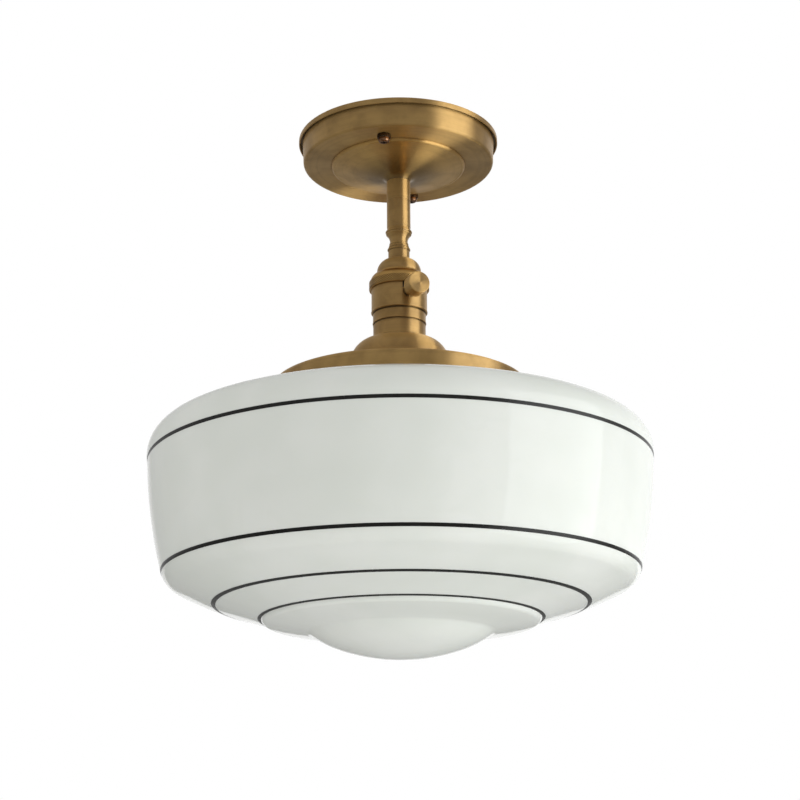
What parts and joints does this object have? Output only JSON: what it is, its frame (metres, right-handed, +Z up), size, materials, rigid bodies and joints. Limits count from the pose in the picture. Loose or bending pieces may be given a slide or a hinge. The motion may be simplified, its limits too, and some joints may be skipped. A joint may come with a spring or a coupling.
{
  "type": "semi flush ceiling light",
  "caption": "Ceiling light: round canopy, short turned brass stem, socket with a rotary switch, and a stepped drum shade of striped opal glass held in a gallery by thumb screws.",
  "frame": {"origin": "on the light's axis in the ceiling plane, at the centre of the outlet box screws", "axes": "+Z up into the ceiling, along the light's axis; -Y faces the viewer of the picture; +X to the viewer's right"},
  "size_m": [0.305, 0.305, 0.3314],
  "materials": {
    "antique_brass": "brushed antique brass, lathe turned",
    "inner_brass": "plain turned brass",
    "dark_bronze": "dark bronze plated",
    "zinc_steel": "zinc plated steel",
    "green_screw": "green painted steel",
    "copper": "bare copper",
    "opal_glass": "glossy opal glass",
    "bulb_glass": "satin white glass",
    "bulb_metal": "plain rolled metal",
    "solder": "tinned metal",
    "moulded_insulator": "dark moulded resin",
    "paper_liner": "varnished insulating fibre",
    "lead_insulation": "smooth wire insulation"
  },
  "bodies": {
    "fixture": {"backplate": "antique_brass", "mounting_strap": "zinc_steel", "ground_screw": "green_screw", "ground_wire": "copper", "canopy": "antique_brass", "canopy_screws": "dark_bronze", "canopy_screw_washers": "dark_bronze", "canopy_bell": "antique_brass", "canopy_nipple": "zinc_steel", "nipple_locknut": "inner_brass", "nipple_lock_washer": "zinc_steel", "stem_collar": "antique_brass", "stem_tube": "antique_brass", "turned_coupling": "antique_brass", "check_ring": "antique_brass", "socket_nipple": "zinc_steel", "socket_locknut": "inner_brass", "socket_cap": "antique_brass", "knurled_ring": "antique_brass", "socket_shell": "antique_brass", "threaded_sleeve": "antique_brass", "upper_band": "antique_brass", "lower_band": "antique_brass", "switch_body": "moulded_insulator", "terminal_screws": "inner_brass", "socket_insulator": "moulded_insulator", "socket_liner": "paper_liner", "screw_shell": "bulb_metal", "centre_contact": "copper", "shaft_bushing": "antique_brass", "shade_holder": "antique_brass", "holder_lock_ring": "inner_brass", "lead_insulation": "lead_insulation", "lead_cores": "copper"},
    "switch": {"switch_shaft": "zinc_steel", "switch_cam": "inner_brass", "switch_knob": "antique_brass"},
    "shade": {"glass_shade": "opal_glass"},
    "bulb": {"bulb_envelope": "bulb_glass", "bulb_cap": "bulb_metal", "bulb_contact": "solder"},
    "thumb_screw_1": {"thumb_screw_1": "antique_brass"},
    "thumb_screw_2": {"thumb_screw_2": "antique_brass"},
    "thumb_screw_3": {"thumb_screw_3": "antique_brass"}
  },
  "joints": [
    {"name": "switch_turn", "type": "hinge", "parent": "fixture", "child": "switch", "pos_m": [0.00937, -0.02318, -0.1074], "axis": [0.3746, -0.9272, 0], "continuous": true},
    {"name": "shade_lower", "type": "slide", "parent": "fixture", "child": "shade", "axis": [0, 0, 1], "range_m": [-0.005, 0]},
    {"name": "bulb_unscrew", "type": "hinge", "parent": "fixture", "child": "bulb", "pos_m": [0, 0, -0.15], "axis": [0, 0, 1], "range_deg": [-1440, 0]},
    {"name": "thumb_screw_1_back_off", "type": "slide", "parent": "fixture", "child": "thumb_screw_1", "axis": [0, 1, 0], "range_m": [0, 0.005]},
    {"name": "thumb_screw_2_back_off", "type": "slide", "parent": "fixture", "child": "thumb_screw_2", "axis": [-0.866, -0.5, 0], "range_m": [0, 0.005]},
    {"name": "thumb_screw_3_back_off", "type": "slide", "parent": "fixture", "child": "thumb_screw_3", "axis": [0.866, -0.5, 0], "range_m": [0, 0.005]}
  ],
  "couplings": [
    {"joint": "thumb_screw_1_back_off", "follows": "shade_lower", "ratio": -1},
    {"joint": "thumb_screw_2_back_off", "follows": "shade_lower", "ratio": -1},
    {"joint": "thumb_screw_3_back_off", "follows": "shade_lower", "ratio": -1}
  ]
}
